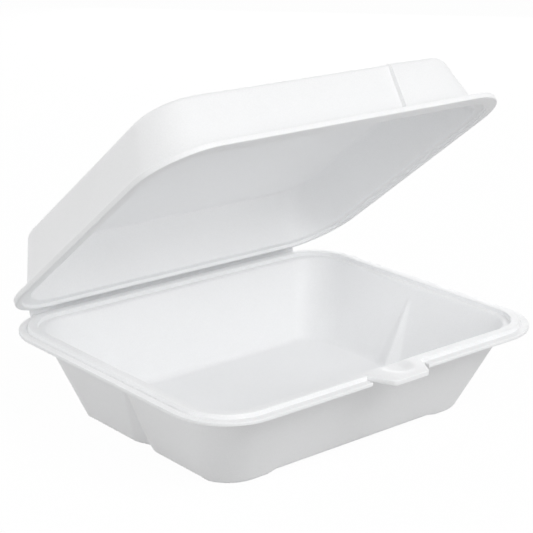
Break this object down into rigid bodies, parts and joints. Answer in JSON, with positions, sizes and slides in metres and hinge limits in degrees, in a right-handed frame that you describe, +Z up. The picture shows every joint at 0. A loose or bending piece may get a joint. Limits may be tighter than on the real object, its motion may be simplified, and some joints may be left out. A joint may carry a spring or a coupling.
{
  "type": "foam clamshell container",
  "caption": "Take-away clamshell box of pressed foam: deep flared tray with a stepped rim and thumb tab, and a shallower lid on a fold along the back edge, shown open.",
  "frame": {"origin": "on the table, in the middle of the tray and of its four feet", "axes": "+X along the hinge fold, to the right seen from the thumb tab; +Y from the thumb tab to the hinge; +Z up"},
  "size_m": [0.2382, 0.205, 0.1874],
  "materials": {
    "foam": "satin white foam sheet with a fine skin"
  },
  "bodies": {
    "tray": {"base_tray": "foam"},
    "lid": {"lid": "foam"}
  },
  "joints": [
    {"name": "lid_hinge", "type": "hinge", "parent": "tray", "child": "lid", "pos_m": [0, 0.0971, 0.0539], "axis": [-1, 0, 0], "range_deg": [-37.6, 141.8]}
  ]
}
